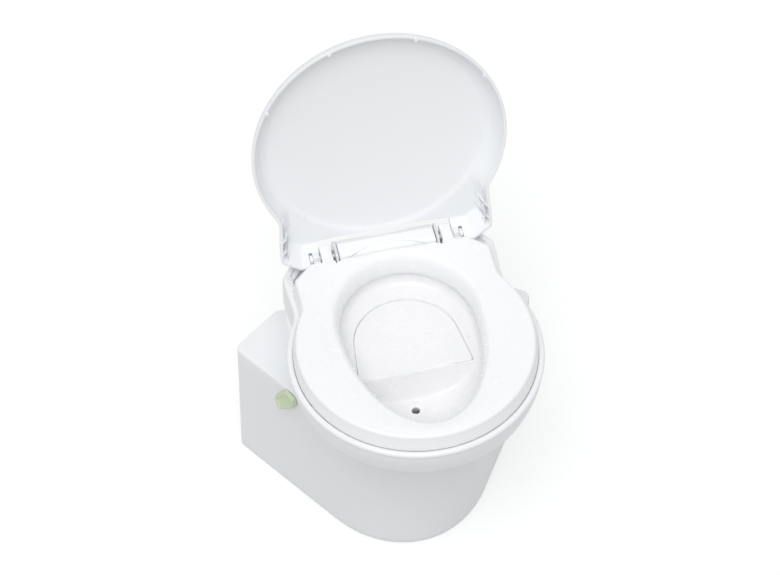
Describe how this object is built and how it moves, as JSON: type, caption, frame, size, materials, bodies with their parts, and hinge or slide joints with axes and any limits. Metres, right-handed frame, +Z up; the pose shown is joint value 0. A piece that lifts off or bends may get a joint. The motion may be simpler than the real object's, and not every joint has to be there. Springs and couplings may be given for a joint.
{
  "type": "composting toilet",
  "caption": "Composting toilet with a hinged lid and seat, a urine-diverting bowl with a view flap, and a rotating container in its base.",
  "frame": {"origin": "on the floor, straight below the centre of the round seat, in the middle of the width", "axes": "+X to the right as seen from the front, +Y to the rear wall with the vent, +Z up"},
  "size_m": [0.4384, 0.479, 0.7883],
  "materials": {
    "shell": "thermoformed white ABS, soft gloss",
    "seat_white": "moulded white polypropylene, gloss",
    "bowl": "moulded white polypropylene, satin",
    "knob": "moulded sage green plastic, matte",
    "hinge": "moulded plastic, high gloss",
    "inner_plastic": "moulded plastic, matte",
    "container": "moulded polyethylene, matte",
    "fan_black": "black moulded plastic, matte",
    "hose": "flexible grey hose",
    "rubber": "soft black rubber",
    "steel": "stainless steel, brushed"
  },
  "bodies": {
    "base": {"base_tub": "shell", "turntable_post": "inner_plastic", "fan_frame": "fan_black", "fan_grille": "fan_black", "vent_spigot": "shell", "vent_gasket": "rubber", "drain_receiver": "shell", "drain_hose": "hose", "drain_outlet": "shell", "tilt_brackets": "inner_plastic", "tilt_pins": "steel", "fan_socket": "fan_black"},
    "turntable": {"turntable": "inner_plastic", "container": "container"},
    "handle": {"container_handle": "steel"},
    "fan": {"fan_rotor": "fan_black"},
    "latch_left": {"latch_knob_left": "knob", "latch_cam_left": "inner_plastic", "latch_screw_left": "steel"},
    "latch_right": {"latch_knob_right": "knob", "latch_cam_right": "inner_plastic", "latch_screw_right": "steel"},
    "upper": {"upper_shell": "shell", "latch_hooks": "inner_plastic", "bowl": "bowl", "bowl_gasket": "rubber", "hinge_bridge": "seat_white", "hinge_cheeks": "hinge", "bridge_screws": "steel", "urine_elbow": "inner_plastic", "urine_hose": "hose", "hose_clips": "inner_plastic", "press_springs": "steel"},
    "lever": {"press_lever": "steel", "lever_pads": "rubber"},
    "seat": {"seat": "seat_white", "seat_buffers": "rubber"},
    "flap": {"view_flap": "bowl", "flap_pins": "steel", "flap_crank": "inner_plastic"},
    "push_rod": {"push_rod": "steel"},
    "lid": {"lid": "seat_white", "lid_buffers": "rubber"}
  },
  "joints": [
    {"name": "turntable_spin", "type": "hinge", "parent": "base", "child": "turntable", "pos_m": [0, 0.105, 0.012], "axis": [0, 0, 1], "continuous": true},
    {"name": "handle_swing", "type": "hinge", "parent": "turntable", "child": "handle", "pos_m": [0, 0.105, 0.19], "axis": [1, 0, 0], "range_deg": [0, 90]},
    {"name": "fan_spin", "type": "hinge", "parent": "base", "child": "fan", "pos_m": [0.095, 0.2465, 0.15], "axis": [0, 1, 0], "continuous": true},
    {"name": "latch_left_turn", "type": "hinge", "parent": "base", "child": "latch_left", "pos_m": [-0.16243, 0.11, 0.213], "axis": [-0.8412, -0.5408, 0], "range_deg": [0, 90]},
    {"name": "latch_right_turn", "type": "hinge", "parent": "base", "child": "latch_right", "pos_m": [0.16243, 0.11, 0.213], "axis": [-0.8412, 0.5408, 0], "range_deg": [0, 90]},
    {"name": "upper_tilt", "type": "hinge", "parent": "base", "child": "upper", "pos_m": [0, 0.268, 0.236], "axis": [-1, 0, 0], "range_deg": [0, 75]},
    {"name": "flap_hinge", "type": "hinge", "parent": "upper", "child": "flap", "pos_m": [0, 0.02, 0.368], "axis": [1, 0, 0], "range_deg": [-76, 0], "stiffness_Nm_per_rad": 0.02, "springref_deg": 85.94},
    {"name": "seat_press", "type": "hinge", "parent": "upper", "child": "lever", "pos_m": [0, 0.185, 0.428], "axis": [-1, 0, 0], "range_deg": [-1.2, 0], "stiffness_Nm_per_rad": 20, "springref_deg": 5.16, "deforming": ["press_springs"]},
    {"name": "push_rod_slide", "type": "slide", "parent": "upper", "child": "push_rod", "axis": [0, 0, 1], "range_m": [-0.0034, 0]},
    {"name": "seat_hinge", "type": "hinge", "parent": "lever", "child": "seat", "pos_m": [0, 0.185, 0.428], "axis": [-1, 0, 0], "range_deg": [0, 95]},
    {"name": "lid_hinge", "type": "hinge", "parent": "upper", "child": "lid", "pos_m": [0, 0.185, 0.428], "axis": [-1, 0, 0], "range_deg": [-104.5, 0]}
  ],
  "couplings": [
    {"joint": "flap_hinge", "follows": "seat_press", "ratio": 63.3},
    {"joint": "push_rod_slide", "follows": "seat_press", "m_per_rad": 0.16}
  ]
}
